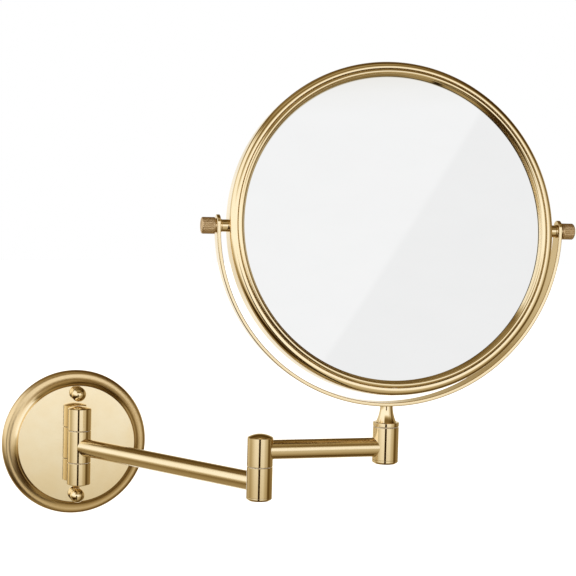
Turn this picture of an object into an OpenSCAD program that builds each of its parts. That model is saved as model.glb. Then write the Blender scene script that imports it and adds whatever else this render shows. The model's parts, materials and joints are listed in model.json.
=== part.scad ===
// Wall-mounted shaving mirror on a two-piece swing arm.
// The origin is the centre of the base where it meets the wall. +Y points
// into the wall, +Z is up, and the object reaches out along -Y.
// Lengths are millimetres, angles are degrees.

/* [Wall base] */
// Largest radius of the base, over its outer roll
base_r = 50; // [46:0.5:54]
// Radius of the raised flat face
face_r = 40.4; // [39:0.2:42]
// Height of the face above the wall
face_h = 14.5; // [12.5:0.5:16]
// Sheet thickness of the base plate
plate_wall = 1.4; // [1.2:0.1:1.8]
// Thickness of the soft ring between base and wall
gasket_h = 1; // [0.6:0.2:1.4]
// Radius of the ball nuts
ball_r = 5; // [4.5:0.25:5.5]
// Height of each ball nut above and below the centre
ball_z = 35; // [34.5:0.25:35.5]
// Distance between the two wall screw holes
screw_spacing = 50; // [44:1:54]
// Radius of a wall screw hole
screw_hole_r = 2.6; // [2:0.1:3]

/* [Barrels and tubes] */
// Radius of the hinge barrels
barrel_r = 8; // [7.5:0.25:9]
// Radius of the barrel at the end of the arm
end_barrel_r = 8.2; // [8:0.1:9]
// Radius of the arm tubes
tube_r = 6; // [5.5:0.25:6.5]
// Wall of the arm tubes
tube_wall = 1.2; // [1:0.1:1.6]
// Radius of the steel hinge pins
pin_r = 3; // [2.75:0.05:3.25]
// Radial clearance of a turning pin in its bore
running_gap = 0.05; // [0.03:0.01:0.08]
// Thickness of the washer between two barrels
washer_h = 0.4; // [0.3:0.1:0.6]

/* [Arm] */
// Inner arm, from the base hinge to the elbow
inner_len = 170; // [150:1:200]
// Outer arm, from the elbow to the swivel
outer_len = 81; // [70:1:100]
// Height of the barrel on the inner arm at the base hinge
centre_knuckle_h = 21.6; // [20:0.2:24]
// Height of each fixed knuckle of the base hinge, with its dome
fixed_knuckle_h = 16.4; // [15:0.2:17]
// Height of the barrel at the outer end of the inner arm, with its cap
lower_elbow_h = 20.7; // [20:0.1:22]
// Height of the straight side of the upper elbow barrel
upper_elbow_h = 17.8; // [17:0.1:19]
// Height of the dome on the upper elbow barrel
dome_h = 2.2; // [1:0.1:3]
// Height of the dome on the outer end of each fixed knuckle
knuckle_dome_h = 1.6; // [1:0.1:2]
// Height of the barrel at the end of the outer arm, with its cap
end_barrel_h = 23; // [22:0.2:25]

/* [Swivel and yoke] */
// Height of the flange at the foot of the stem
flange_h = 2.6; // [2:0.1:3]
// Height of the flared neck above the flange
neck_h = 10.3; // [9:0.1:12]
// Radius of the neck where it meets the flange
neck_foot_r = 6.5; // [6:0.1:7]
// Radius of the neck under the yoke
neck_top_r = 4; // [3.5:0.1:4.5]
// Inner radius of the yoke
yoke_inner_r = 108.2; // [107.5:0.05:109]
// Thickness of the yoke strip
yoke_t = 2.3; // [2:0.1:3]
// Width of the yoke strip, front to back
yoke_w = 10.4; // [9.6:0.2:12]
// Height of the yoke ends above the tilt axis
tab_rise = 6.8; // [6:0.1:8]

/* [Mirror head] */
// Outer radius of the mirror frame
frame_r = 103.2; // [102:0.1:104]
// Half of the frame hoop's depth
hoop_half = 9; // [8.5:0.1:9.5]
// Radius of the rounded shoulders of the hoop
shoulder_r = 3.4; // [3:0.1:3.6]
// Radius of the visible glass
glass_view_r = 94.2; // [93.8:0.1:94.4]
// Radius of the bead around the glass
bead_r = 1.65; // [1.4:0.05:1.7]
// Thickness of the plain mirror
plain_t = 3; // [2.5:0.1:3]
// Radius of curvature of the magnifying mirror
magnify_curve_r = 900; // [880:10:1400]
// Radius of the knobs
knob_r = 5.1; // [4.8:0.1:5.6]
// Length of a knob
knob_len = 8.2; // [7:0.2:10]
// Number of grooves around a knob
knob_grooves = 30; // [20:1:36]

/* [Pose] */
// Inner arm, turned from the wall plane towards the front
inner_angle = 60; // [5:1:90]
// Outer arm, turned from the wall plane towards the front
outer_angle = 1.5; // [0:0.5:90]
// Yoke, turned away from square to the wall
yoke_angle = 5; // [0:0.5:30]
// Mirror, tilted up about its knobs
tilt_angle = 8; // [0:0.5:30]

/* [Hidden] */
$fn = 96;

// Past a surface, so that a cut goes right through it
through = 0.5;

// Radius of the sphere whose cap has the radius r and the height h
function dome_sphere(r, h) = (r * r + h * h) / (2 * h);

// Wall base
roll_r = 3.6;
roll_centre_r = base_r - roll_r;
roll_centre_h = gasket_h + roll_r;
// The cove is an arc that touches the roll and ends upright at the face's edge
cove_rise = face_h - roll_centre_h;
cove_reach = roll_centre_r - face_r;
cove_r = (cove_reach * cove_reach + cove_rise * cove_rise - roll_r * roll_r)
    / (2 * (roll_r + cove_reach));
rim_in_r = roll_centre_r - 2;
bracket_t = 2;
bracket_w = 18;
bracket_half_h = 41;
bracket_half_w = screw_spacing / 2 + 8;
stud_r = 2.5;
nut_across_r = 4.4;
nut_h = 3;
ball_seat = ball_r - 0.4;

// Base hinge
plate_gap = 1.2;
hinge_y = face_h + plate_gap + barrel_r;
knuckle_z = centre_knuckle_h / 2 + washer_h;
knuckle_mid_z = knuckle_z + fixed_knuckle_h / 2;
knuckle_end_z = knuckle_z + fixed_knuckle_h;
neck_r = 4.5;
neck_screw_r = 2;
screw_head_r = 3.6;
screw_head_h = 2.4;
plug_r = 4.6;
plug_h = 3.4;
knuckle_sphere_r = dome_sphere(barrel_r, knuckle_dome_h);
bore_r = pin_r + running_gap;
edge = 0.5;

// Elbow, measured from the inner arm's axis
cap_h = 2;
lower_top_z = 10;
lower_bottom_z = lower_top_z - lower_elbow_h;
upper_z = lower_top_z + washer_h;
upper_side_z = upper_z + upper_elbow_h;
upper_top_z = upper_side_z + dome_h;
outer_z = (upper_z + upper_top_z) / 2;
dome_sphere_r = dome_sphere(barrel_r, dome_h);
pocket_r = 6;
pocket_h = 5.2;
bolt_head_r = 5;
bolt_head_h = 3;
wave_washer_h = 1.2;
seat_gap = 0.15;

// Swivel, measured from the outer arm's axis
end_cap_h = 2.5;
end_bottom_z = -10.2;
end_top_z = end_bottom_z + end_barrel_h;
end_pocket_top_z = end_bottom_z + end_cap_h + 6;
flange_z = end_top_z + washer_h;
neck_z = flange_z + flange_h;
yoke_bottom_z = neck_z + neck_h;
yoke_outer_r = yoke_inner_r + yoke_t;
pivot_z = yoke_bottom_z + yoke_outer_r;
neck_flare_r = (neck_h * neck_h + pow(neck_foot_r - neck_top_r, 2)) / (2 * (neck_foot_r - neck_top_r));
yoke_screw_r = 2;

// Mirror head, measured from the tilt axis and the middle of the head
hoop_in_r = frame_r - shoulder_r - 1;
hoop_wall = 1.3;
bezel_out_r = hoop_in_r - 0.05;
bezel_skirt = 0.9;
bead_centre_r = bezel_out_r - bead_r - 0.25;
bead_centre_h = hoop_half - 0.6;
glass_r = bezel_out_r - bezel_skirt - 0.4;
glass_h = 6;
seal_h = 0.5;
board_h = 1.2;
magnify_t = 2.2;
magnify_dip = magnify_curve_r - sqrt(magnify_curve_r * magnify_curve_r - glass_r * glass_r);
boss_r = 3.8;
boss_in_r = frame_r - hoop_wall - 0.6;
boss_out_r = yoke_inner_r - 0.95;
stud_in_r = boss_in_r + 1;
knob_stud_r = 2;
knob_in_r = yoke_outer_r + 0.75;
knob_edge = 1;

// Placement: each puts its children on one part of the arm, with X along it

module at_hinge() {
    translate([0, -hinge_y, 0])
        rotate(-inner_angle)
            children();
}

module at_elbow() {
    at_hinge()
        translate([inner_len, 0, 0])
            rotate(inner_angle - outer_angle)
                children();
}

module at_swivel() {
    at_elbow()
        translate([outer_len, 0, outer_z])
            rotate(outer_angle - yoke_angle)
                children();
}

module at_pivot() {
    at_swivel()
        translate([0, 0, pivot_z])
            children();
}

module at_mirror() {
    at_pivot()
        rotate([-tilt_angle, 0, 0])
            children();
}

// Turns a section drawn as (radius, height off the wall) about the Y axis
module turned() {
    rotate([90, 0, 0])
        rotate_extrude(convexity = 6)
            children();
}

// A round bar along -Y from height h0 to height h1
module post(r, h0, h1) {
    translate([0, -h0, 0])
        rotate([90, 0, 0])
            cylinder(r = r, h = h1 - h0);
}

// A round bar along X from x0 to x1
module bar(r, x0, x1) {
    translate([x0, 0, 0])
        rotate([0, 90, 0])
            cylinder(r = r, h = x1 - x0);
}

// An upright barrel from z0 to z1 with its edges broken
module barrel(r, z0, z1, low_edge = edge, high_edge = edge) {
    rotate_extrude()
        polygon([
            [0, z0], [r - low_edge, z0], [r, z0 + low_edge],
            [r, z1 - high_edge], [r - high_edge, z1], [0, z1]
        ]);
}

// An upright barrel from z0 whose top is a dome that peaks at z1
module domed_barrel(r, z0, z1, sphere_r) {
    intersection() {
        barrel(r, z0, z1 + 1);
        translate([0, 0, z1 - sphere_r])
            sphere(r = sphere_r);
    }
}

module upright(r, z0, z1) {
    translate([0, 0, z0])
        cylinder(r = r, h = z1 - z0);
}

module ring(outer, inner, z0, z1) {
    difference() {
        upright(outer, z0, z1);
        upright(inner, z0 - through, z1 + through);
    }
}

module ring_section(outer, inner, h0, h1) {
    translate([inner, h0])
        square([outer - inner, h1 - h0]);
}

// Copies its children to both sides of the mirror
module both_sides() {
    for (side = [0, 180])
        rotate(side)
            children();
}

// Wall base

module wall_bracket() {
    color("silver")
        difference() {
            union() {
                translate([-bracket_w / 2, -bracket_t, -bracket_half_h])
                    cube([bracket_w, bracket_t, 2 * bracket_half_h]);
                translate([-bracket_half_w, -bracket_t, -bracket_w / 2])
                    cube([2 * bracket_half_w, bracket_t, bracket_w]);
            }
            for (side = [-1, 1]) {
                translate([side * screw_spacing / 2, 0, 0])
                    post(screw_hole_r, -through, bracket_t + through);
                translate([0, 0, side * ball_z])
                    post(stud_r, -through, bracket_t + through);
            }
        }
}

module bracket_studs() {
    color("silver")
        for (side = [-1, 1])
            translate([0, 0, side * ball_z])
                post(stud_r, 0.2, face_h + ball_seat);
}

module stud_nuts() {
    color("silver")
        for (side = [-1, 1])
            translate([0, 0, side * ball_z])
                difference() {
                    rotate([90, 0, 0])
                        translate([0, 0, bracket_t])
                            cylinder(r = nut_across_r, h = nut_h, $fn = 6);
                    post(stud_r, 0, bracket_t + nut_h + through);
                }
}

module plate_gasket() {
    color("dimgray")
        turned()
            ring_section(roll_centre_r + 0.8, rim_in_r - 1, 0, gasket_h);
}

// Outline of the plate, shrunk by inset: flat face out to rim, cove and outer roll
module plate_outline(inset, rim) {
    difference() {
        square([rim, face_h - inset]);
        translate([face_r + cove_r, face_h])
            circle(r = cove_r + inset);
    }
    translate([roll_centre_r, roll_centre_h])
        circle(r = roll_r - inset);
}

module wall_plate() {
    color("gold")
        difference() {
            turned()
                difference() {
                    plate_outline(0, roll_centre_r);
                    plate_outline(plate_wall, rim_in_r);
                    square([base_r, gasket_h]);
                }
            for (side = [-1, 1]) {
                translate([0, 0, side * ball_z])
                    post(stud_r + 0.2, face_h - 2 * plate_wall, face_h + through);
                translate([0, 0, side * knuckle_mid_z])
                    post(neck_screw_r + 0.1, face_h - 2 * plate_wall, face_h + through);
            }
        }
}

module ball_nuts() {
    color("gold")
        for (side = [-1, 1])
            translate([0, 0, side * ball_z])
                turned()
                    difference() {
                        intersection() {
                            translate([0, face_h + ball_seat])
                                circle(r = ball_r);
                            ring_section(ball_r, 0, face_h, face_h + 2 * ball_r);
                        }
                        ring_section(stud_r, 0, face_h - 1, face_h + ball_seat + 0.6);
                    }
}

// One fixed knuckle above the inner arm: barrel and the neck that holds it off the plate
module fixed_knuckle() {
    difference() {
        union() {
            translate([0, -hinge_y, 0])
                domed_barrel(barrel_r, knuckle_z, knuckle_end_z, knuckle_sphere_r);
            translate([0, 0, knuckle_mid_z])
                post(neck_r, face_h, hinge_y - pin_r - 1);
        }
        translate([0, 0, knuckle_mid_z])
            post(neck_screw_r, face_h - 1, face_h + 5);
    }
}

module upper_knuckle() {
    color("gold")
        difference() {
            fixed_knuckle();
            translate([0, -hinge_y, 0])
                upright(pin_r, knuckle_z - through, knuckle_end_z - plug_h);
        }
}

module lower_knuckle() {
    color("gold")
        mirror([0, 0, 1])
            difference() {
                fixed_knuckle();
                translate([0, -hinge_y, 0]) {
                    upright(pin_r, knuckle_z - through, knuckle_end_z);
                    upright(plug_r, knuckle_end_z - plug_h, knuckle_end_z + through);
                }
            }
}

module knuckle_screws() {
    color("silver")
        for (side = [-1, 1])
            translate([0, 0, side * knuckle_mid_z]) {
                post(neck_screw_r, face_h - plate_wall, face_h + 4.6);
                post(screw_head_r, face_h - plate_wall - screw_head_h, face_h - plate_wall);
            }
}

module hinge_pin() {
    color("silver")
        translate([0, -hinge_y, 0])
            upright(pin_r, -knuckle_end_z + plug_h, knuckle_end_z - plug_h);
}

module hinge_plug() {
    color("gold")
        translate([0, -hinge_y, 0])
            mirror([0, 0, 1])
                intersection() {
                    upright(plug_r, knuckle_end_z - plug_h, knuckle_end_z + 1);
                    translate([0, 0, knuckle_end_z - knuckle_sphere_r])
                        sphere(r = knuckle_sphere_r);
                }
}

module hinge_washers() {
    color("ivory")
        translate([0, -hinge_y, 0])
            for (side = [0, 1])
                mirror([0, 0, side])
                    ring(barrel_r - 0.6, bore_r, knuckle_z - washer_h, knuckle_z);
}

// Inner arm

// A tube along X between two barrel axes, its ends cut to sit round the barrels
module arm_tube(length, start_r, end_r) {
    difference() {
        bar(tube_r, 0, length);
        bar(tube_r - tube_wall, -through, length + through);
        upright(start_r, -tube_r - 1, tube_r + 1);
        translate([length, 0, 0])
            upright(end_r, -tube_r - 1, tube_r + 1);
    }
}

module inner_knuckle() {
    color("gold")
        at_hinge()
            difference() {
                barrel(barrel_r, -centre_knuckle_h / 2, centre_knuckle_h / 2);
                upright(bore_r, -centre_knuckle_h, centre_knuckle_h);
            }
}

module inner_arm_tube() {
    color("goldenrod")
        at_hinge()
            arm_tube(inner_len, barrel_r, barrel_r);
}

module elbow_lower_barrel() {
    color("gold")
        at_elbow()
            difference() {
                barrel(barrel_r, lower_bottom_z + cap_h, lower_top_z, 0.2);
                upright(bore_r, lower_bottom_z, lower_top_z + through);
                upright(pocket_r, lower_bottom_z, lower_bottom_z + cap_h + pocket_h);
            }
}

module elbow_spring_washer() {
    color("silver")
        at_elbow()
            ring(pocket_r - 0.4, bore_r,
                lower_bottom_z + cap_h + pocket_h - wave_washer_h,
                lower_bottom_z + cap_h + pocket_h);
}

// A cap under a barrel: a bevelled rim and a short spigot in the barrel's pocket
module barrel_cap(r, z0, h) {
    barrel(r, z0, z0 + h, 1.1, 0.2);
    upright(pocket_r, z0 + h, z0 + h + 0.6);
}

module elbow_cap() {
    color("gold")
        at_elbow()
            barrel_cap(barrel_r, lower_bottom_z, cap_h);
}

module elbow_washer() {
    color("ivory")
        at_elbow()
            ring(barrel_r - 0.6, bore_r, lower_top_z, upper_z);
}

// Outer arm

module elbow_upper_barrel() {
    color("gold")
        at_elbow()
            difference() {
                domed_barrel(barrel_r, upper_z, upper_top_z, dome_sphere_r);
                upright(pin_r, upper_z - through, upper_side_z - 2);
            }
}

module elbow_bolt() {
    head_top_z = lower_bottom_z + cap_h + pocket_h - wave_washer_h - seat_gap;
    color("silver")
        at_elbow() {
            upright(pin_r, head_top_z, upper_side_z - 2);
            difference() {
                upright(bolt_head_r, head_top_z - bolt_head_h, head_top_z);
                translate([0, 0, head_top_z - bolt_head_h - through])
                    cylinder(r = 2.3, h = 2, $fn = 6);
            }
        }
}

module outer_arm_tube() {
    color("goldenrod")
        at_elbow()
            translate([0, 0, outer_z])
                arm_tube(outer_len, barrel_r, end_barrel_r);
}

module end_barrel() {
    color("gold")
        at_swivel()
            difference() {
                barrel(end_barrel_r, end_bottom_z + end_cap_h, end_top_z, 0.2);
                upright(bore_r, end_bottom_z, end_top_z + through);
                upright(pocket_r, end_bottom_z, end_pocket_top_z);
            }
}

module end_cap() {
    color("gold")
        at_swivel()
            barrel_cap(end_barrel_r, end_bottom_z, end_cap_h);
}

module swivel_washer() {
    color("ivory")
        at_swivel()
            ring(end_barrel_r - 0.6, bore_r, end_top_z, flange_z);
}

// Swivel and yoke

module swivel_stem() {
    color("gold")
        at_swivel()
            difference() {
                union() {
                    barrel(end_barrel_r, flange_z, neck_z);
                    rotate_extrude()
                        difference() {
                            translate([0, neck_z])
                                square([neck_foot_r, neck_h]);
                            translate([neck_top_r + neck_flare_r, yoke_bottom_z])
                                circle(r = neck_flare_r);
                        }
                }
                upright(yoke_screw_r, yoke_bottom_z - 6, yoke_bottom_z + through);
                upright(pin_r, flange_z - through, flange_z + 4);
            }
}

module swivel_spindle() {
    color("silver")
        at_swivel()
            upright(pin_r, end_bottom_z + end_cap_h + 1, flange_z + 4);
}

module spindle_nut() {
    nut_top_z = end_pocket_top_z - wave_washer_h - seat_gap;
    color("silver")
        at_swivel()
            difference() {
                translate([0, 0, nut_top_z - nut_h])
                    cylinder(r = 5.2, h = nut_h, $fn = 6);
                upright(pin_r, nut_top_z - nut_h - through, nut_top_z + through);
            }
}

module spindle_washer() {
    color("silver")
        at_swivel()
            ring(pocket_r - 0.4, bore_r, end_pocket_top_z - wave_washer_h, end_pocket_top_z);
}

module yoke_screw() {
    head_z = yoke_bottom_z + yoke_t;
    color("silver")
        at_swivel()
            rotate_extrude()
                polygon([
                    [0, yoke_bottom_z - 5.6], [yoke_screw_r, yoke_bottom_z - 5.6],
                    [yoke_screw_r, head_z - 1.8], [yoke_screw_r + 1.6, head_z - 0.2], [0, head_z - 0.2]
                ]);
}

module yoke_tab() {
    straight = tab_rise - yoke_w / 2;
    translate([yoke_inner_r, -yoke_w / 2, 0])
        cube([yoke_t, yoke_w, straight]);
    translate([0, 0, straight])
        bar(yoke_w / 2, yoke_inner_r, yoke_outer_r);
}

module yoke() {
    color("gold")
        at_pivot()
            difference() {
                union() {
                    difference() {
                        post(yoke_outer_r, -yoke_w / 2, yoke_w / 2);
                        post(yoke_inner_r, -yoke_w, yoke_w);
                        translate([-yoke_outer_r - 1, -yoke_w, 0])
                            cube([2 * yoke_outer_r + 2, 2 * yoke_w, yoke_outer_r + 1]);
                    }
                    both_sides()
                        yoke_tab();
                }
                both_sides()
                    bar(knob_stud_r + 0.3, yoke_inner_r - 1, yoke_outer_r + 1);
                translate([0, 0, -yoke_outer_r])
                    rotate_extrude()
                        polygon([
                            [0, -1], [yoke_screw_r, -1], [yoke_screw_r, yoke_t - 1.8],
                            [yoke_screw_r + 1.6, yoke_t - 0.2], [yoke_screw_r + 1.6, yoke_t + 1],
                            [0, yoke_t + 1]
                        ]);
            }
}

module knob_washers() {
    color("gold")
        at_pivot()
            both_sides()
                difference() {
                    bar(4.4, yoke_outer_r, yoke_outer_r + 0.6);
                    bar(knob_stud_r + 0.3, yoke_outer_r - 1, yoke_outer_r + 1);
                }
}

// Mirror head

module frame_hoop() {
    shoulder_centre_h = hoop_half - shoulder_r;
    color("gold")
        at_mirror()
            difference() {
                turned()
                    difference() {
                        union() {
                            ring_section(frame_r, hoop_in_r, -shoulder_centre_h, shoulder_centre_h);
                            ring_section(frame_r - shoulder_r, hoop_in_r, -hoop_half, hoop_half);
                            for (side = [-1, 1])
                                translate([frame_r - shoulder_r, side * shoulder_centre_h])
                                    circle(r = shoulder_r);
                        }
                        ring_section(frame_r - hoop_wall, hoop_in_r - 3,
                            -shoulder_centre_h, shoulder_centre_h);
                        ring_section(hoop_in_r, hoop_in_r - 3, -hoop_half - 1, hoop_half + 1);
                    }
                both_sides()
                    bar(boss_r, boss_in_r - 1, frame_r + 1);
            }
}

// The bead ring that holds a glass from the front
module bezel() {
    color("gold")
        turned()
            union() {
                translate([bead_centre_r, bead_centre_h])
                    circle(r = bead_r);
                ring_section(bezel_out_r, bezel_out_r - bezel_skirt, glass_h - 5, bead_centre_h);
                polygon([
                    [bezel_out_r, glass_h + seal_h], [bezel_out_r, bead_centre_h],
                    [bead_centre_r - bead_r + 0.15, bead_centre_h],
                    [glass_view_r, glass_h + seal_h]
                ]);
            }
}

module front_bezel() {
    at_mirror()
        bezel();
}

module rear_bezel() {
    at_mirror()
        rotate(180)
            bezel();
}

module seal() {
    color("dimgray")
        turned()
            ring_section(glass_r, glass_view_r + 0.3, glass_h, glass_h + seal_h);
}

module front_gasket() {
    at_mirror()
        seal();
}

module rear_gasket() {
    at_mirror()
        rotate(180)
            seal();
}

module plain_mirror() {
    color("whitesmoke")
        at_mirror()
            post(glass_r, glass_h - plain_t, glass_h);
}

// The magnifying side is a dished glass of even thickness
module magnifying_mirror() {
    color("whitesmoke")
        at_mirror()
            rotate(180)
                turned()
                    intersection() {
                        ring_section(glass_r, 0, 0 - magnify_t, glass_h);
                        translate([0, glass_h - magnify_dip + magnify_curve_r])
                            difference() {
                                circle(r = magnify_curve_r + magnify_t, $fn = 720);
                                circle(r = magnify_curve_r, $fn = 720);
                            }
                    }
}

module backing_board() {
    color("dimgray")
        at_mirror()
            post(glass_r, glass_h - plain_t - board_h - 0.1, glass_h - plain_t - 0.1);
}

module spacer_ring() {
    top_h = glass_h - plain_t - board_h - 0.15;
    color("dimgray")
        at_mirror()
            turned()
                ring_section(glass_r, glass_r - 4, magnify_t - glass_h + 0.65, top_h);
}

module frame_bosses() {
    color("gold")
        at_mirror()
            both_sides()
                difference() {
                    bar(boss_r, boss_in_r, boss_out_r);
                    bar(knob_stud_r + running_gap, boss_in_r - 1, boss_out_r + 1);
                }
}

module pivot_washers() {
    color("gold")
        at_mirror()
            both_sides()
                difference() {
                    bar(4.2, boss_out_r, boss_out_r + 0.85);
                    bar(knob_stud_r + running_gap, boss_out_r - 1, boss_out_r + 2);
                }
}

// A thumb knob with fine grooves, along +X
module knob() {
    knob_out_r = knob_in_r + knob_len;
    color("peru")
        difference() {
            rotate([0, 90, 0])
                barrel(knob_r, knob_in_r, knob_out_r, 0.3, knob_edge);
            bar(knob_stud_r, knob_in_r - 1, knob_out_r - 2);
            for (i = [0 : knob_grooves - 1])
                rotate([i * 360 / knob_grooves, 0, 0])
                    translate([0, 0, knob_r + 0.35])
                        bar(0.5, knob_in_r + 0.8, knob_out_r - knob_edge);
        }
}

module stud() {
    color("silver")
        bar(knob_stud_r, stud_in_r, knob_in_r + knob_len - 2);
}

module left_knob() {
    at_mirror()
        rotate(180)
            knob();
}

module right_knob() {
    at_mirror()
        knob();
}

module left_stud() {
    at_mirror()
        rotate(180)
            stud();
}

module right_stud() {
    at_mirror()
        stud();
}

wall_bracket();
bracket_studs();
stud_nuts();
plate_gasket();
wall_plate();
ball_nuts();
upper_knuckle();
lower_knuckle();
knuckle_screws();
hinge_pin();
hinge_plug();
hinge_washers();
inner_knuckle();
inner_arm_tube();
elbow_lower_barrel();
elbow_spring_washer();
elbow_cap();
elbow_washer();
elbow_upper_barrel();
elbow_bolt();
outer_arm_tube();
end_barrel();
end_cap();
swivel_washer();
swivel_stem();
swivel_spindle();
spindle_nut();
spindle_washer();
yoke_screw();
yoke();
knob_washers();
frame_hoop();
front_bezel();
rear_bezel();
front_gasket();
rear_gasket();
plain_mirror();
magnifying_mirror();
backing_board();
spacer_ring();
frame_bosses();
pivot_washers();
left_knob();
right_knob();
left_stud();
right_stud();
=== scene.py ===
"""Looks of the extendable shaving mirror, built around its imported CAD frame.

Pieces are made in millimetres in the local space of the part they belong to,
and placed by the frame's own joints. Z is up and +Y points into the wall.
"""

import json
import math

import bpy
from mathutils import Matrix, Vector


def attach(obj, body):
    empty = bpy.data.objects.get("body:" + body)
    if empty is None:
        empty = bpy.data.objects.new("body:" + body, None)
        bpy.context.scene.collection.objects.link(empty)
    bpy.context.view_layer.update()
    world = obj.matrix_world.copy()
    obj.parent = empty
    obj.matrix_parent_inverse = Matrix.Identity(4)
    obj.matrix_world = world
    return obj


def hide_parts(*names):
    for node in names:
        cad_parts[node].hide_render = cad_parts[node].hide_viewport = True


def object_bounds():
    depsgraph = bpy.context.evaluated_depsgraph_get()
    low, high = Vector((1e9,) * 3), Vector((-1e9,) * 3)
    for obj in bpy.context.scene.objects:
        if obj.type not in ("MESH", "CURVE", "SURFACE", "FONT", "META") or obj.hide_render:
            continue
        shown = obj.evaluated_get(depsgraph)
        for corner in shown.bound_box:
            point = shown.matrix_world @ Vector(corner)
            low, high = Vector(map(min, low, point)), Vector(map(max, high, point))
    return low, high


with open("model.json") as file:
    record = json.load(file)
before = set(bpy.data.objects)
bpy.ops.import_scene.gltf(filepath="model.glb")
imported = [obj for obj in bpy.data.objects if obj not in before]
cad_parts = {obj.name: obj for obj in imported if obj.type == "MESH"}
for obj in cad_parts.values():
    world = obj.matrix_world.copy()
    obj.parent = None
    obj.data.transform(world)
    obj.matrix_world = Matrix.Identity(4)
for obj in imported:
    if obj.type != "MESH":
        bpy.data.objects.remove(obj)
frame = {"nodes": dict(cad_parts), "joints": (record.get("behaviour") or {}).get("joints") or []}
cad_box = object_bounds()

MM = 0.001
MICRON = 0.000001
TINY = 1e-6
FULL_TURN = 360.0
# Faces that meet at more than this many degrees keep a sharp edge
SHARP_ANGLE = 32

# Sizes in millimetres, as in the CAD part
FACE_H = 14.5
HINGE_H = 23.7
BARREL_R = 8.0
END_BARREL_R = 8.2
TUBE_R = 6.0
BALL_R = 5.0
BALL_Z = 35.0
KNUCKLE_MID_Z = 19.4
OUTER_ARM_Z = 20.4
YOKE_INNER_R = 108.2
YOKE_T = 2.3
YOKE_HALF_W = 5.2
TAB_STRAIGHT = 1.6
FRAME_R = 103.2
HOOP_IN_R = FRAME_R - 4.4
GLASS_H = 6.0
KNOB_IN_R = YOKE_INNER_R + YOKE_T + 0.75
KNOB_R = 5.1
KNOB_LEN = 8.2
KNOB_GROOVES = 30
TILT = 8.0

# Places


def spin(degrees, axis):
    """A turn about X, Y or Z."""
    return Matrix.Rotation(math.radians(degrees), 4, axis)


def joint(name):
    """The joint's position and axis at rest, in the row frame."""
    found = next(j for j in frame["joints"] if j["name"] == name)
    return Vector(found["pos_m"]), Vector(found["axis"])


def along(start, end):
    """A place at start, with X towards end."""
    way = end - start
    return Matrix.Translation(start) @ Matrix.Rotation(math.atan2(way.y, way.x), 4, "Z")


hinge_at, elbow_at, swivel_at = (joint(n)[0] for n in ("base_swing", "elbow_swing", "head_swivel"))
pivot_at, tilt_axis = joint("mirror_tilt")

BASE = Matrix.Identity(4)
HINGE = along(hinge_at, elbow_at)
OUTER = along(elbow_at, swivel_at)
ELBOW = OUTER @ Matrix.Translation((0, 0, -OUTER_ARM_Z * MM))
SWIVEL = Matrix.Translation(swivel_at)
PIVOT = along(pivot_at, pivot_at + tilt_axis)
HEAD = PIVOT @ spin(-TILT, "X")
FORWARD = spin(90, "X")
RIGHTWARD = spin(90, "Y")
ABOUT = spin(180, "Z")


# Shapes: each returns vertices in millimetres and faces


def arc(centre, radius, start, end, steps):
    """Points of an arc from one angle to another, in degrees."""
    points = []
    for k in range(steps + 1):
        angle = math.radians(start + (end - start) * k / steps)
        points.append((centre[0] + radius * math.cos(angle), centre[1] + radius * math.sin(angle)))
    return points


def rounded(corners, steps=5):
    """A path through corners (r, h) or (r, h, radius), with each given radius as an arc."""
    path = []
    for i, corner in enumerate(corners):
        here = Vector(corner[:2])
        radius = corner[2] if len(corner) > 2 else 0
        if radius == 0:
            path.append(tuple(here))
            continue
        before = (Vector(corners[i - 1][:2]) - here).normalized()
        after = (Vector(corners[(i + 1) % len(corners)][:2]) - here).normalized()
        half = before.angle(after) / 2
        centre = here + (before + after).normalized() * (radius / math.sin(half))
        start = here + before * (radius / math.tan(half)) - centre
        end = here + after * (radius / math.tan(half)) - centre
        first = math.degrees(math.atan2(start.y, start.x))
        turn = math.degrees(math.atan2(start.x * end.y - start.y * end.x, start.dot(end)))
        path += arc(centre, radius, first, first + turn, steps)
    return path


def strip(lower, upper):
    """Faces between two loops of vertex numbers. A loop of one number is a pole."""
    faces = []
    count = max(len(lower), len(upper))
    for i in range(count):
        j = (i + 1) % count
        ring = [
            lower[i % len(lower)], lower[j % len(lower)],
            upper[j % len(upper)], upper[i % len(upper)],
        ]
        faces.append(list(dict.fromkeys(ring)))
    return faces


def skin(loops, closed=False):
    """Joins loops of points one after another. A loop of one point closes the shape."""
    verts, numbers, faces = [], [], []
    for loop in loops:
        numbers.append(range(len(verts), len(verts) + len(loop)))
        verts += loop
    for lower, upper in zip(numbers, numbers[1:]):
        faces += strip(lower, upper)
    if closed:
        faces += strip(numbers[-1], numbers[0])
    return verts, faces


def circle(radius, height, segments, offset=None):
    """A loop round Z. offset(angle) is added to the height."""
    loop = []
    for i in range(segments):
        angle = 2 * math.pi * i / segments
        lift = offset(angle) if offset else 0
        loop.append((radius * math.cos(angle), radius * math.sin(angle), height + lift))
    return loop


def lathe(profile, segments=96, closed=False):
    """Turns a path of (radius, height) about Z. A radius of nought is a pole."""
    loops = []
    for radius, height in profile:
        loops.append([(0, 0, height)] if radius < TINY else circle(radius, height, segments))
    return skin(loops, closed)


def disc(radius, low, high, low_edge, high_edge, segments=96):
    """A round bar along Z with rounded edges."""
    corners = [(0, low), (radius, low, low_edge), (radius, high, high_edge), (0, high)]
    return lathe(rounded(corners), segments)


def domed(radius, low, high, dome, segments=96):
    """A round bar along Z whose top is a dome of the given height."""
    ball_r = (radius**2 + dome**2) / (2 * dome)
    lean = math.degrees(math.asin((radius - 0.3) / ball_r))
    path = rounded([(0, low), (radius, low, 0.3), (radius, high - dome - 0.2)])
    path += arc((0, high - ball_r), ball_r, 90 - lean, 90, 14)[:-1] + [(0, high)]
    return lathe(path, segments)


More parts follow.
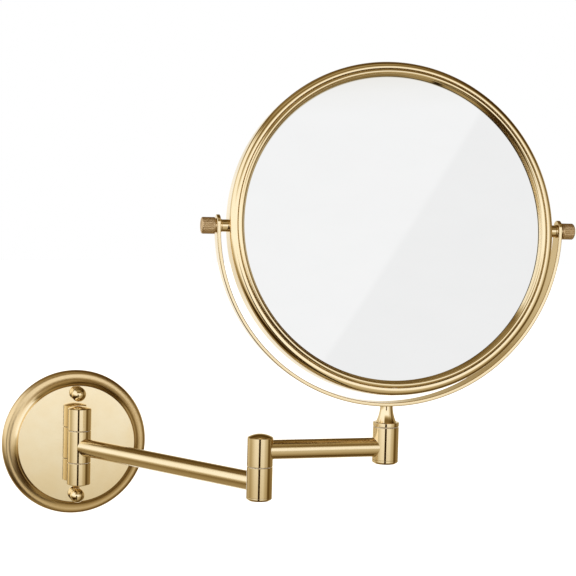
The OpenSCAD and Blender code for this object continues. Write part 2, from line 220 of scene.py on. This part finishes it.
def washer(outer, inner, low, high, edge=0.1, segments=72):
    """A flat ring about Z with its outer edges rounded."""
    corners = [(inner, low), (outer, low, edge), (outer, high, edge), (inner, high)]
    return lathe(rounded(corners, steps=3), segments, closed=True)


def strut(radius, length, start_barrel, end_barrel, fillet, segments=96, steps=5):
    """A bar along Z between two barrels that lie along X, with a fillet where it meets each.

    A barrel of nought is a flat face.
    """

    def cut(barrel):
        spread = radius + fillet
        if not barrel:
            return lambda angle: 0
        return lambda angle: math.sqrt(barrel**2 - (spread * math.sin(angle)) ** 2)

    start_cut, end_cut = cut(start_barrel), cut(end_barrel)
    loops = [[(0, 0, start_barrel * 0.6)]]
    for k in range(steps + 1):
        slope = math.radians(90 - 90 * k / steps)
        flare = radius + fillet * (1 - math.cos(slope))
        loops.append(circle(flare, fillet * (1 - math.sin(slope)), segments, start_cut))
    for k in range(steps + 1):
        slope = math.radians(90 * k / steps)
        flare = radius + fillet * (1 - math.cos(slope))
        rise = length - fillet * (1 - math.sin(slope))
        loops.append(circle(flare, rise, segments, lambda angle: -end_cut(angle)))
    loops.append([(0, 0, length - end_barrel * 0.6)])
    return skin(loops)


def bent_strip(inner_r, thickness, half_width, straight, edge, arc_steps=180, end_steps=12):
    """The yoke: a flat strip bent to a half ring under the tilt axis, with round ends."""
    stations = []
    for k in range(end_steps + 1):
        lean = math.radians(90 - 90 * k / end_steps)
        stations.append((-1, 0, straight, math.sin(lean), math.cos(lean)))
    for k in range(arc_steps + 1):
        angle = math.pi * (1 + k / arc_steps)
        stations.append((math.cos(angle), math.sin(angle), 0, 0, 1))
    for k in range(end_steps + 1):
        lean = math.radians(90 * k / end_steps)
        stations.append((1, 0, straight, math.sin(lean), math.cos(lean)))

    layers = []
    edge_steps = 5
    for k in range(edge_steps + 1):
        turn = math.radians(90 * k / edge_steps)
        layers.append((edge * (1 - math.sin(turn)), edge * (1 - math.cos(turn))))
    layers += [(inset, thickness - height) for inset, height in reversed(layers)]

    def point(station, inset, height, side):
        across, down, lift, rise, width = station
        radius, reach = inner_r + height, half_width - inset
        return (radius * across, side * reach * width, radius * down + lift + reach * rise)

    last = len(stations) - 1
    loops = []
    for inset, height in layers:
        near = [point(stations[i], inset, height, -1) for i in range(last + 1)]
        far = [point(stations[i], inset, height, 1) for i in range(last - 1, 0, -1)]
        loops.append(near + far)
    verts, faces = skin(loops)
    size = len(loops[0])
    for base in (0, (len(loops) - 1) * size):
        for i in range(last):
            ring = [base + i, base + i + 1, base + (size - i - 1) % size, base + (size - i) % size]
            faces.append(list(dict.fromkeys(ring)))
    return verts, faces


def knurled(radius, low, high, grooves, depth, bevel):
    """A knob along Z with fine grooves between two plain rims and a rounded outer end."""
    per_groove = 8
    segments = grooves * per_groove

    def loop(level, height, share):
        points = []
        for i in range(segments):
            angle = 2 * math.pi * i / segments
            ridge = 0.5 + 0.5 * math.cos(2 * math.pi * i / per_groove)
            reach = level - share * depth * (1 - ridge) ** 1.5
            points.append((reach * math.cos(angle), reach * math.sin(angle), height))
        return points

    loops = [[(0, 0, low)]]
    for r, h in arc((radius - 0.3, low + 0.3), 0.3, -90, 0, 3):
        loops.append(loop(r, h, 0))
    run_in = 0.5
    for share in (0, 0.6, 1):
        loops.append(loop(radius, low + 0.8 + run_in * share, share))
    for r, h in arc((radius - bevel, high - bevel), bevel, 0, 90, 8):
        loops.append(loop(r, h, min(1, (high - h) / bevel)))
    loops.append(circle(radius * 0.45, high, segments))
    loops.append(circle(radius * 0.4, high - 0.12, segments))
    loops.append([(0, 0, high - 0.12)])
    return skin(loops)


# Materials


class Look:
    """A node material with short calls for what the finishes share."""

    def __init__(self, name, metallic, roughness):
        self.material = bpy.data.materials.new(name)
        self.material.use_nodes = True
        self.tree = self.material.node_tree
        self.shader = self.tree.nodes["Principled BSDF"]
        self.shader.inputs["Metallic"].default_value = metallic
        self.shader.inputs["Roughness"].default_value = roughness
        self.place = self.tree.nodes.new("ShaderNodeTexCoord").outputs["Object"]

    def node(self, kind, inputs, **settings):
        made = self.tree.nodes.new("ShaderNode" + kind)
        for key, value in settings.items():
            setattr(made, key, value)
        for key, value in inputs.items():
            if isinstance(value, bpy.types.NodeSocket):
                self.tree.links.new(value, made.inputs[key])
            else:
                made.inputs[key].default_value = value
        return made

    def noise(self, per_metre, detail=3, stretch=(1, 1, 1), rough=0.55):
        """Noise from nought to one, with features about 1 / per_metre metres wide."""
        spread = self.node("Mapping", {"Vector": self.place, "Scale": stretch})
        inputs = {"Scale": per_metre, "Detail": detail, "Roughness": rough}
        made = self.node("TexNoise", {"Vector": spread.outputs[0], **inputs})
        return made.outputs["Fac"]

    def between(self, value, low, high, start=0.3, end=0.7):
        """Maps start..end of a value on to low..high."""
        made = self.node(
            "MapRange",
            {"Value": value, "From Min": start, "From Max": end, "To Min": low, "To Max": high},
        )
        return made.outputs["Result"]

    def mix(self, share, first, second):
        """Blends two colours, each a tuple or a socket."""
        made = self.node("MixRGB", {"Fac": share})
        for key, value in (("Color1", first), ("Color2", second)):
            if isinstance(value, bpy.types.NodeSocket):
                self.tree.links.new(value, made.inputs[key])
            else:
                made.inputs[key].default_value = (*value, 1)
        return made.outputs["Color"]

    def bump(self, height, distance, strength=1.0, under=None):
        """A normal that follows height, over another normal if one is given."""
        inputs = {"Height": height, "Distance": distance, "Strength": strength}
        if under is not None:
            inputs["Normal"] = under
        return self.node("Bump", inputs).outputs["Normal"]

    def use(self, socket, value):
        """Feeds one input of the shader."""
        self.tree.links.new(value, self.shader.inputs[socket])


def darker(colour, share):
    return tuple(share * c for c in colour)


def brass(name, tone, shade, roughness, stretch=(1, 1, 1), grain=1.0, mottle=0.02, rim=None):
    """Lacquered brass: two close tones, fine polishing marks and a few dull specks.

    rim, (radius in metres, added roughness, share of painted shade), makes what lies beyond
    that radius round local Z rougher, and darkens its colour towards a darker brass as painted
    shade.
    """
    speck_share, speck_from, speck_to = 0.5, 0.6, 0.8
    look = Look(name, 1, roughness)
    cloud = look.noise(45, 3)
    speck = look.noise(700, 4, rough=0.7)
    marks = look.noise(2600, 2, stretch)
    body = look.mix(look.between(cloud, 0, 1), tone, shade)
    dull = darker(shade, 0.72)
    freckle = look.between(speck, 0, speck_share, speck_from + 0.02, speck_to)
    colour = look.mix(freckle, body, dull)
    spread = look.between(marks, roughness * 0.75, roughness * 1.3)
    spots = look.between(speck, 0, mottle * 4, speck_from, speck_to)
    spotted = look.node("Math", {0: spread, 1: spots}, operation="ADD")
    if rim:
        radius, added, painted_shade_share = rim
        fade = 0.0008
        flat = look.node("VectorMath", {0: look.place, 1: (1, 1, 0)}, operation="MULTIPLY")
        reach = look.node("VectorMath", {0: flat.outputs[0]}, operation="LENGTH").outputs["Value"]
        beyond = look.between(reach, 0, added, radius - fade, radius + fade)
        spotted = look.node("Math", {0: spotted.outputs[0], 1: beyond}, operation="ADD")
        # Painted shade: beyond the radius the colour turns towards a darker copy of the brass.
        painted_rim_shade = look.between(reach, 0, painted_shade_share, radius - fade, radius + fade)
        colour = look.mix(painted_rim_shade, colour, PAINTED_SHADE_BRASS)
    look.use("Base Color", colour)
    look.use("Roughness", spotted.outputs[0])
    wave = look.bump(look.noise(70, 1), 10 * MICRON)
    look.use("Normal", look.bump(marks, 0.5 * MICRON * grain, 1.0, wave))
    return look.material


def steel(name, colour, roughness):
    """Plated steel with a fine bloom."""
    look = Look(name, 1, roughness)
    bloom = look.noise(260, 4, rough=0.7)
    look.use("Base Color", look.mix(look.between(bloom, 0, 1), colour, darker(colour, 0.8)))
    look.use("Roughness", look.between(bloom, roughness * 0.8, roughness * 1.4))
    look.use("Normal", look.bump(look.noise(1800, 4), 10 * MICRON))
    return look.material


def moulded(name, colour, roughness, grain):
    """Plastic or rubber with a fine grain, its depth in microns."""
    look = Look(name, 0, roughness)
    cloud = look.noise(120, 3)
    look.use("Base Color", look.mix(look.between(cloud, 0, 1), colour, darker(colour, 0.85)))
    rough_to = min(1, roughness * 1.15)
    look.use("Roughness", look.between(look.noise(900, 3), roughness * 0.9, rough_to))
    look.use("Normal", look.bump(look.noise(2200, 3), grain * MICRON))
    return look.material


def silvered(name):
    """Mirror glass: near perfect, with the faintest smears."""
    look = Look(name, 1, 0.012)
    smear = look.noise(28, 4, (1, 2.4, 1))
    clean, smeared = (0.785, 0.787, 0.787), (0.775, 0.778, 0.778)
    look.use("Base Color", look.mix(look.between(smear, 0, 1), clean, smeared))
    look.use("Roughness", look.between(smear, 0.006, 0.03, 0.35, 0.75))
    look.shader.inputs["Coat Weight"].default_value = 0.25
    look.shader.inputs["Coat Roughness"].default_value = 0.01
    return look.material


LIGHT_BRASS = (0.93, 0.79, 0.54)
DEEP_BRASS = (0.91, 0.76, 0.5)
PALE_BRASS = (0.95, 0.85, 0.64)
# A darker copy of the brass, painted as shade on the base plate's outer roll
PAINTED_SHADE_BRASS = (0.84, 0.65, 0.37)
MATERIALS = {
    # Beyond 42.2 mm the plate is rougher, and its colour is darkened by painted shade.
    "polished_brass_plate": brass(
        "polished_plate", PALE_BRASS, LIGHT_BRASS, 0.09, grain=0.6, rim=(0.0422, 0.2, 0.9)
    ),
    "polished_brass": brass("polished_brass", LIGHT_BRASS, DEEP_BRASS, 0.08, grain=0.8),
    "satin_brass": brass("satin_tube", LIGHT_BRASS, DEEP_BRASS, 0.17, (1, 1, 0.02), 2.5),
    "yoke_brass": brass("yoke_brass", LIGHT_BRASS, DEEP_BRASS, 0.12, grain=0.6),
    "frame_brass": brass("frame_brass", LIGHT_BRASS, DEEP_BRASS, 0.1, grain=0.35),
    "knurled_brass": brass(
        "knurled_brass", (0.84, 0.65, 0.42), (0.78, 0.58, 0.35), 0.46, grain=2, mottle=0.03
    ),
    "zinc_steel": steel("zinc_steel", (0.62, 0.62, 0.6), 0.32),
    "steel": steel("bright_steel", (0.7, 0.7, 0.69), 0.2),
    "nylon": moulded("nylon", (0.74, 0.7, 0.6), 0.5, 10),
    "rubber_seal": moulded("rubber_seal", (0.05, 0.048, 0.045), 0.6, 30),
    "backing_plastic": moulded("backing_plastic", (0.09, 0.09, 0.095), 0.5, 20),
    "plain_mirror": silvered("plain_silvering"),
    "magnifying_mirror": silvered("magnifying_silvering"),
}

# Pieces


def piece(name, place, shapes, body, slot, *nodes):
    """One object made of shapes, each (local matrix in millimetres, (vertices, faces))."""
    verts, faces = [], []
    for matrix, (points, rings) in shapes:
        first = len(verts)
        verts += [matrix @ Vector(p) * MM for p in points]
        faces += [[first + i for i in ring] for ring in rings]
    mesh = bpy.data.meshes.new(name)
    mesh.from_pydata(verts, [], faces)
    mesh.shade_smooth()
    mesh.set_sharp_from_angle(angle=math.radians(SHARP_ANGLE))
    mesh.materials.append(MATERIALS[slot])
    made = bpy.data.objects.new(name, mesh)
    bpy.context.scene.collection.objects.link(made)
    made.matrix_world = place
    even = made.modifiers.new("even_shading", "WEIGHTED_NORMAL")
    even.keep_sharp = True
    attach(made, body)
    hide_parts(*nodes)
    return made


def build_wall_base():
    """The round base plate, its two ball nuts and the fixed parts of the hinge."""
    roll_r, roll, plateau_r = 3.6, (46.4, 4.6), 40.4
    rise, reach = FACE_H - roll[1], roll[0] - plateau_r
    cove_r = (reach**2 + rise**2 - roll_r**2) / (2 * (roll_r + reach))
    cove = (plateau_r + cove_r, FACE_H)
    touch = math.degrees(math.atan2(roll[1] - cove[1], roll[0] - cove[0]))
    wall, edge_r = 1.4, 0.35
    plate = [(0, FACE_H), (30, FACE_H)]
    plate += arc((plateau_r - edge_r, FACE_H - edge_r), edge_r, 90, 0, 5)
    plate += arc(cove, cove_r, 184, 360 + touch, 24)
    plate += arc(roll, roll_r, 180 + touch, -90, 36)[1:]
    plate += [(44.6, 1), (44.4, 1.2), (44.4, 3.68)]
    plate += arc(roll, roll_r - wall, 205, 540 + touch, 24)
    plate += arc(cove, cove_r + wall, 360 + touch, 192, 12)[1:]
    plate += [(0, FACE_H - wall)]
    piece("base_plate", BASE @ FORWARD, [(Matrix(), lathe(plate, 256))],
          "wall_base", "polished_brass_plate", "wall_plate")

    ball = [(0, FACE_H - 0.2), (1.5, FACE_H - 0.2)]
    centre_h = FACE_H + BALL_R - 0.4
    ball += arc((0, centre_h), BALL_R, -66, 90, 30)[:-1] + [(0, centre_h + BALL_R)]
    piece("ball_pair", BASE @ FORWARD,
          [(Matrix.Translation((0, side * BALL_Z, 0)), lathe(ball, 72)) for side in (-1, 1)],
          "wall_base", "polished_brass", "ball_nuts")

    neck_r, neck_fillet, plug_r = 4.5, 0.7, 4.5
    neck = strut(neck_r, HINGE_H - FACE_H, 0, BARREL_R, neck_fillet, 72)
    upright = Matrix.Translation((0, 0, HINGE_H)) @ spin(-90, "X")
    quarter = spin(90, "Z")
    low, high, dome = 11.2, 27.6, 1.6
    for side, name, node in ((1, "upper_fixed_knuckle", "upper_knuckle"),
                             (-1, "lower_fixed_knuckle", "lower_knuckle")):
        middle = Matrix.Translation((0, side * KNUCKLE_MID_Z, FACE_H))
        turn = upright if side > 0 else upright @ spin(180, "X")
        piece(name, BASE @ FORWARD,
              [(turn, domed(BARREL_R, low, high, dome)), (middle @ quarter, neck)],
              "wall_base", "polished_brass", node)
    piece("hinge_end_plug", BASE @ FORWARD,
          [(upright @ spin(180, "X"), domed(plug_r, high - 3.4, high + 0.06, 0.55, 64))],
          "wall_base", "polished_brass", "hinge_plug")


def build_arms():
    """Two arms: each a tube between barrels, with its caps."""
    hinge = Matrix.Translation(hinge_at)
    piece("centre_knuckle", hinge, [(Matrix(), disc(BARREL_R, -10.8, 10.8, 0.3, 0.3))],
          "inner_arm", "polished_brass", "inner_knuckle")
    inner_len = (elbow_at - hinge_at).xy.length / MM
    piece("inner_tube", HINGE @ RIGHTWARD,
          [(Matrix(), strut(TUBE_R, inner_len, BARREL_R, BARREL_R, 0.45))],
          "inner_arm", "satin_brass", "inner_arm_tube").visible_glossy = False
    piece("elbow_lower", ELBOW, [(Matrix(), disc(BARREL_R, -8.68, 10, 0.15, 0.3))],
          "inner_arm", "polished_brass", "elbow_lower_barrel")
    low, bevel, top = -10.7, 1.1, -8.72
    cap = [(0, low), (BARREL_R - bevel, low, 0.4), (BARREL_R, low + bevel, 0.4),
           (BARREL_R, top, 0.12), (0, top)]
    piece("elbow_end_cap", ELBOW, [(Matrix(), lathe(rounded(cap)))],
          "inner_arm", "polished_brass", "elbow_cap")

    piece("elbow_upper", ELBOW, [(Matrix(), domed(BARREL_R, 10.4, 30.4, 2.2))],
          "outer_arm", "polished_brass", "elbow_upper_barrel")
    outer_len = (swivel_at - elbow_at).xy.length / MM
    piece("outer_tube", OUTER @ RIGHTWARD,
          [(Matrix(), strut(TUBE_R, outer_len, BARREL_R, END_BARREL_R, 0.45))],
          "outer_arm", "satin_brass", "outer_arm_tube")
    piece("swivel_barrel", SWIVEL, [(Matrix(), disc(END_BARREL_R, -7.68, 12.8, 0.15, 0.3))],
          "outer_arm", "polished_brass", "end_barrel")
    low, top = -10.2, -7.72
    cap = [(0, low), (END_BARREL_R - bevel, low, 0.4), (END_BARREL_R, low + bevel, 0.4),
           (END_BARREL_R, top, 0.12), (0, top)]
    piece("swivel_end_cap", SWIVEL, [(Matrix(), lathe(rounded(cap)))],
          "outer_arm", "polished_brass", "end_cap")


def build_yoke():
    """The flared stem, the half-round strip and its washers."""
    neck_z, yoke_z, foot_r, top_r = 15.8, 26.1, 6.5, 4.0
    rise = yoke_z - neck_z
    flare_r = (rise**2 + (foot_r - top_r) ** 2) / (2 * (foot_r - top_r))
    lean = math.degrees(math.asin(rise / flare_r))
    flange_z, edge = 13.2, 0.35
    stem = rounded([(0, flange_z), (END_BARREL_R, flange_z, edge),
                    (END_BARREL_R, neck_z, edge), (foot_r, neck_z)])
    stem += arc((top_r + flare_r, yoke_z), flare_r, 180 + lean, 180, 20) + [(0, yoke_z)]
    piece("flared_stem", SWIVEL, [(Matrix(), lathe(stem))],
          "yoke_assembly", "polished_brass", "swivel_stem")
    piece("yoke_strip", PIVOT,
          [(Matrix(), bent_strip(YOKE_INNER_R, YOKE_T, YOKE_HALF_W, TAB_STRAIGHT, 0.55))],
          "yoke_assembly", "yoke_brass", "yoke")
    outer = YOKE_INNER_R + YOKE_T
    piece("outer_washers", PIVOT,
          [(turn @ RIGHTWARD, washer(4.4, 2.3, outer, outer + 0.6, 0.2))
           for turn in (Matrix(), ABOUT)],
          "yoke_assembly", "yoke_brass", "knob_washers")


def build_head():
    """The hoop, the two bead rings and glasses, the bosses and the thumb screws."""
    side_h, shoulder_r = 5.6, 3.4
    rim_r = FRAME_R - shoulder_r
    half_depth = side_h + shoulder_r
    hoop = arc((rim_r, side_h), shoulder_r, 0, 90, 16)
    hoop += arc((HOOP_IN_R + 0.25, half_depth - 0.25), 0.25, 90, 180, 4)
    hoop += [(HOOP_IN_R, side_h), (FRAME_R - 1.3, side_h)]
    hoop += [(r, -h) for r, h in reversed(hoop)]
    piece("outer_hoop", HEAD @ FORWARD, [(Matrix(), lathe(hoop, 384, closed=True))],
          "mirror_head", "frame_brass", "frame_hoop")

    out_r, bead_r = HOOP_IN_R - 0.1, 1.65
    bead = (out_r - bead_r - 0.2, 8.4)
    pane_r = out_r - 1.3
    bezel = [(out_r, 1), (out_r, 7.6)] + arc((out_r - 0.2, 7.6), 0.2, 0, 90, 3)
    bezel += arc(bead, bead_r, -10, 190, 28)
    bezel += [(94.2, 6.55), (94.45, 6.5), (out_r - 0.9, 6.5), (out_r - 0.9, 1)]
    glass = [(0, 3), (pane_r, 3), (pane_r, 5.7), (94.0, 5.98), (93.4, GLASS_H)]
    glass += [(60, GLASS_H), (0, GLASS_H)]
    magnify_r, dish_r, thick = 900, pane_r, 2.2
    deep = GLASS_H - magnify_r + math.sqrt(magnify_r**2 - dish_r**2)

    def dish(radius):
        return deep + magnify_r - math.sqrt(magnify_r**2 - radius**2)

    stops = [dish_r * k / 40 for k in range(41)]
    rear_glass = [(r, dish(r) - thick) for r in stops] + [(r, dish(r)) for r in reversed(stops)]
    for side, turn, bezel_node, pane, pane_node in (
        ("front", Matrix(), "front_bezel", glass, "plain_mirror"),
        ("rear", ABOUT, "rear_bezel", rear_glass, "magnifying_mirror"),
    ):
        place = HEAD @ turn @ FORWARD
        piece(side + "_bead_ring", place, [(Matrix(), lathe(bezel, 384, closed=True))],
              "mirror_head", "frame_brass", bezel_node)
        piece(side + "_pane", place, [(Matrix(), lathe(pane, 256))],
              "mirror_head", pane_node, pane_node)

    both = (RIGHTWARD, ABOUT @ RIGHTWARD)
    boss_h = YOKE_INNER_R - 0.95
    boss = rounded([(0, 101.4), (3.8, 101.4), (3.8, boss_h, 0.3), (0, boss_h)])
    piece("pivot_bosses", HEAD, [(turn, lathe(boss, 72)) for turn in both],
          "mirror_head", "frame_brass", "frame_bosses")
    piece("inner_washers", HEAD,
          [(turn, washer(4.2, 2.1, boss_h, boss_h + 0.85, 0.2)) for turn in both],
          "mirror_head", "frame_brass", "pivot_washers")
    groove_depth, bevel = 0.18, 1.0
    shape = knurled(KNOB_R, KNOB_IN_R, KNOB_IN_R + KNOB_LEN, KNOB_GROOVES, groove_depth, bevel)
    for side, turn in zip(("right", "left"), both):
        piece(side + "_thumb_knob", HEAD @ turn, [(Matrix(), shape)],
              side + "_thumbscrew", "knurled_brass", side + "_knob")


def finish_frame_nodes():
    """Gives every CAD node that stays the finish named by its slot."""
    for node in frame["nodes"].values():
        slot = node.data.materials[0].name.split(".")[0]
        node.data.materials[0] = MATERIALS[slot]


build_wall_base()
build_arms()
build_yoke()
build_head()
finish_frame_nodes()

# Light, floor and camera


def studio_world():
    """A white room for the camera, and the studio that the metal reflects."""
    world = bpy.data.worlds.new("studio")
    world.use_nodes = True
    tree = world.node_tree
    tree.nodes.clear()

    def node(kind, inputs, **settings):
        made = tree.nodes.new("ShaderNode" + kind)
        for key, value in settings.items():
            setattr(made, key, value)
        for key, value in inputs.items():
            if isinstance(value, bpy.types.NodeSocket):
                tree.links.new(value, made.inputs[key])
            else:
                made.inputs[key].default_value = value
        return made

    def ramp(share, stops):
        made = node("ValToRGB", {"Fac": share})
        stored = made.color_ramp.elements
        while len(stored) < len(stops):
            stored.new(1)
        for element, (position, level) in zip(stored, stops):
            element.position = position
            element.color = (level, level, level, 1)
        return made.outputs["Color"]

    way = node("TexCoord", {}).outputs["Generated"]
    parts = node("SeparateXYZ", {"Vector": way}).outputs
    back = node("Math", {0: parts["Y"], 1: -1.0}, operation="MULTIPLY").outputs[0]
    azimuth = node("Math", {0: parts["X"], 1: back}, operation="ARCTAN2").outputs[0]
    elevation = node("Math", {0: parts["Z"]}, operation="ARCSINE").outputs[0]

    def shares(value, span):
        return node("MapRange", {"Value": value, "From Min": -span, "From Max": span}).outputs[0]

    def shade(around, height):
        """The product of a ramp round the horizon and one from floor to ceiling."""
        turned = [(0.5 + (CAMERA_AZIMUTH + a) / FULL_TURN, level) for a, level in around]
        risen = [(0.5 + e / (FULL_TURN / 2), level) for e, level in height]
        wide = ramp(shares(azimuth, math.pi), turned)
        tall = ramp(shares(elevation, math.pi / 2), risen)
        return node("Math", {0: wide, 1: tall}, operation="MULTIPLY").outputs[0]

    level = shade(*SOFTBOXES)
    for patches, goal in ((LIGHT_PATCHES, 1.0), (DARK_PATCHES, 0.0)):
        for patch in patches:
            blend = node("Mix", {"Factor": shade(*patch), "A": level, "B": goal})
            level = blend.outputs["Result"]
    tint = {
        key: node("Math", {0: level, 1: power}, operation="POWER").outputs[0]
        for key, power in zip("XYZ", SHADE_WARMTH)
    }
    turned = node("Math", {0: azimuth, 1: SLANT}, operation="MULTIPLY").outputs[0]
    slant = node("Math", {0: turned, 1: elevation}, operation="SUBTRACT").outputs[0]
    edge = node("MapRange", {
        "Value": slant, "To Min": 1.0, "To Max": SLANT_LEVEL,
        "From Min": math.radians(SLANT_AT - SLANT_WIDTH / 2),
        "From Max": math.radians(SLANT_AT + SLANT_WIDTH / 2),
    }).outputs[0]
    lit = node("CombineXYZ", tint).outputs[0]
    colour = node("VectorMath", {0: lit, "Scale": edge}, operation="SCALE").outputs[0]
    studio = node("Background", {"Color": colour, "Strength": STUDIO_STRENGTH})
    white = node("Background", {"Color": (1, 1, 1, 1), "Strength": 1.0})
    seen = node("LightPath", {}).outputs["Is Camera Ray"]
    both = node("MixShader", {0: seen, 1: studio.outputs[0], 2: white.outputs[0]})
    tree.links.new(both.outputs[0], node("OutputWorld", {}).inputs["Surface"])
    bpy.context.scene.world = world


# The direction from the object to the camera, in degrees from -Y
CAMERA_AZIMUTH = -17.5
STUDIO_STRENGTH = 1.15
# Power of the light's level in red, green and blue: what is dim is also warm
SHADE_WARMTH = (1.0, 1.23, 1.8)
# Each pair of ramps is the light by degrees round from the camera, and by degrees above
# the horizon. The patches then brighten or darken parts of the room.
SOFTBOXES = (
    (
        (-162, 0.4), (-134, 0.7), (-118, 0.68), (-95, 0.53), (-85, 0.53), (-65, 0.72),
        (-45, 0.92), (-27, 1), (35, 1), (50, 0.72), (70, 0.58), (78, 0.2), (94, 0.13),
        (106, 0.3), (150, 0.4), (197, 0.45),
    ),
    (
        (-90, 0.15), (-70, 0.36), (-45, 0.46), (-28, 0.55), (-14, 0.55), (-11.7, 0.62),
        (-10, 0.8), (-7.5, 0.94), (0, 1), (18, 1), (25, 0.45), (31, 0.22), (37, 0.16),
        (46, 0.2), (58, 0.4), (66, 0.3), (76, 0.18), (90, 0.25),
    ),
)
LIGHT_PATCHES = (
    (((-112, 0), (-98, 0.95), (-34, 0.95), (-20, 0)), ((-5, 0), (2, 1), (42, 1), (50, 0))),
    (((146, 0), (158, 1), (197, 1)), ((-52, 0), (-40, 0.85), (4, 0.85), (14, 0))),
    (((-162, 1), (-158, 1), (-150, 0)), ((-52, 0), (-40, 0.85), (4, 0.85), (14, 0))),
)
DARK_PATCHES = (
    (((-11.5, 0), (-9.5, 0.98), (5.5, 0.98), (8, 0)), ((3, 1), (7, 0))),
    (((-100, 0), (-80, 0.9), (-16, 0.95), (-8, 0)), ((-64, 0), (-54, 1), (-24, 1), (-16, 0))),
)
# One softbox's slanted edge: its slope, its place in degrees, its width and the level beyond it
SLANT, SLANT_AT, SLANT_WIDTH, SLANT_LEVEL = 1.38, 3.45, 0.35, 0.95


def floor():
    """A pale floor below the object, lit so that it meets the white room without an edge."""
    half, drop, glow = 8, 0.3, 1.1
    mesh = bpy.data.meshes.new("studio_floor")
    corners = [(-half, -half), (half, -half), (half, half), (-half, half)]
    mesh.from_pydata([(x, y, cad_box[0].z - drop) for x, y in corners], [], [(0, 1, 2, 3)])
    made = bpy.data.objects.new("studio_floor", mesh)
    bpy.context.scene.collection.objects.link(made)
    look = Look("pale_floor", 0, 0.9)
    look.use("Base Color", look.mix(look.noise(3), (0.9, 0.9, 0.9), (0.88, 0.88, 0.88)))
    look.shader.inputs["Emission Color"].default_value = (1, 1, 1, 1)
    look.shader.inputs["Emission Strength"].default_value = glow
    mesh.materials.append(look.material)
    made.visible_glossy = False


def camera():
    """The camera stands left of the object, a little above its middle, and looks slightly down."""
    data = bpy.data.cameras.new("view")
    data.lens, data.sensor_width = 101.85, 36
    made = bpy.data.objects.new("view", data)
    bpy.context.scene.collection.objects.link(made)
    yaw, pitch, roll = 17.525, -4.114, 1.432
    made.matrix_world = (
        Matrix.Translation((-0.1985, -1.117, 0.1911))
        @ spin(-yaw, "Z") @ spin(90 + pitch, "X") @ spin(roll, "Z")
    )
    bpy.context.scene.camera = made


studio_world()
floor()
camera()
bpy.context.scene.view_settings.view_transform = "Standard"
